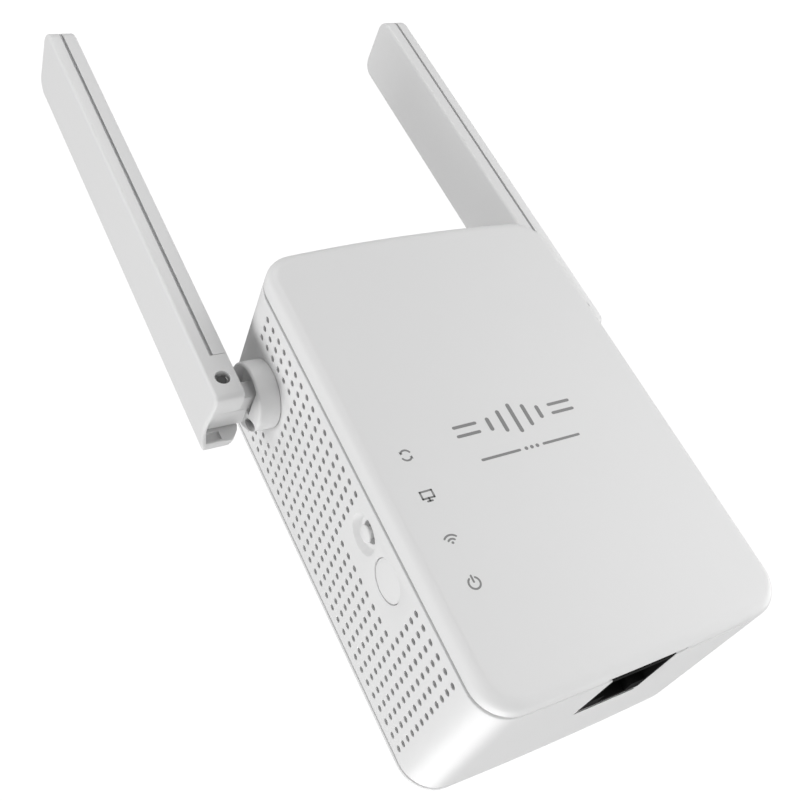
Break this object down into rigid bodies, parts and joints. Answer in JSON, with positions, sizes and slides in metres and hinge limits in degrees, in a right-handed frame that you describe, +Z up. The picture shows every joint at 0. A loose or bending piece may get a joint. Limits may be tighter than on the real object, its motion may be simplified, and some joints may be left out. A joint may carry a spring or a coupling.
{
  "type": "wifi range extender",
  "caption": "Wall-plug wifi range extender: flat box casing with side vents and buttons, a network socket underneath and two folding paddle antennas.",
  "frame": {"origin": "centre of the casing's flat back face, which lies against the wall socket", "axes": "+Z up, -Y out of the front face, +Y into the wall, +X to the right seen from the front"},
  "size_m": [0.088, 0.0554, 0.1684],
  "materials": {
    "case_white": "fine satin moulding",
    "button_white": "smooth satin moulding",
    "plug_white": "matt moulding",
    "nickel_brass": "nickel plated brass, bright",
    "steel": "zinc plated",
    "board_green": "solder mask",
    "plastic_black": "matt moulding",
    "tinplate": "tin plated sheet",
    "contact_gold": "gold flashed",
    "light_clear": "clear polycarbonate",
    "led_cream": "moulded lens",
    "core_ferrite": "sintered ferrite",
    "capacitor_sleeve": "shrink sleeve",
    "fuse_sleeve": "lacquer",
    "wire_red": "PVC sleeve",
    "wire_black": "PVC sleeve",
    "wire_grey": "coaxial cable jacket"
  },
  "bodies": {
    "root": {"front_cover": "case_white", "mid_frame": "case_white", "back_cover": "case_white", "plug_insert": "plug_white", "left_plug_blade": "nickel_brass", "right_plug_blade": "nickel_brass", "case_screw_upper_left": "steel", "case_screw_upper_right": "steel", "case_screw_lower_left": "steel", "case_screw_lower_right": "steel", "board_screw_1": "steel", "board_screw_2": "steel", "board_screw_3": "steel", "power_screw_1": "steel", "power_screw_2": "steel", "main_board": "board_green", "power_board": "board_green", "processor": "plastic_black", "memory_chip": "plastic_black", "network_transformer": "plastic_black", "network_jack": "plastic_black", "rectifier": "plastic_black", "rf_shield": "tinplate", "reset_switch": "tinplate", "wps_switch": "tinplate", "jack_contacts": "contact_gold", "light_guide": "light_clear", "led_1": "led_cream", "led_2": "led_cream", "led_3": "led_cream", "led_4": "led_cream", "transformer": "core_ferrite", "filter_inductor": "core_ferrite", "mains_capacitor": "capacitor_sleeve", "output_capacitor": "capacitor_sleeve", "fuse": "fuse_sleeve", "mains_wire_right": "wire_red", "supply_wire_positive": "wire_red", "mains_wire_left": "wire_black", "supply_wire_negative": "wire_black", "left_coax": "wire_grey", "right_coax": "wire_grey"},
    "left_swivel_base": {"left_swivel": "case_white", "left_retainer": "steel"},
    "left_blade": {"left_antenna_shell": "case_white", "left_antenna_cover": "case_white", "left_hinge_pin": "steel", "left_radiator": "board_green", "left_coax_tail": "wire_grey"},
    "right_swivel_base": {"right_swivel": "case_white", "right_retainer": "steel"},
    "right_blade": {"right_antenna_shell": "case_white", "right_antenna_cover": "case_white", "right_hinge_pin": "steel", "right_radiator": "board_green", "right_coax_tail": "wire_grey"},
    "reset_key": {"reset_button": "button_white", "reset_plunger": "plastic_black"},
    "wps_key": {"wps_button": "button_white", "wps_plunger": "plastic_black"}
  },
  "joints": [
    {"name": "left_antenna_turn", "type": "hinge", "parent": "root", "child": "left_swivel_base", "pos_m": [-0.0332, -0.018, 0.0296], "axis": [1, 0, 0], "range_deg": [0, 180]},
    {"name": "left_antenna_tilt", "type": "hinge", "parent": "left_swivel_base", "child": "left_blade", "pos_m": [-0.04115, -0.0184, 0.0296], "axis": [0, -1, 0], "range_deg": [0, 90]},
    {"name": "right_antenna_turn", "type": "hinge", "parent": "root", "child": "right_swivel_base", "pos_m": [0.0332, -0.018, 0.0296], "axis": [1, 0, 0], "range_deg": [0, 180]},
    {"name": "right_antenna_tilt", "type": "hinge", "parent": "right_swivel_base", "child": "right_blade", "pos_m": [0.04115, -0.0184, 0.0296], "axis": [0, 1, 0], "range_deg": [0, 90]},
    {"name": "reset_press", "type": "slide", "parent": "root", "child": "reset_key", "axis": [1, 0, 0], "range_m": [0, 0.0006], "stiffness_N_per_m": 1500},
    {"name": "wps_press", "type": "slide", "parent": "root", "child": "wps_key", "axis": [1, 0, 0], "range_m": [0, 0.0006], "stiffness_N_per_m": 1500}
  ]
}
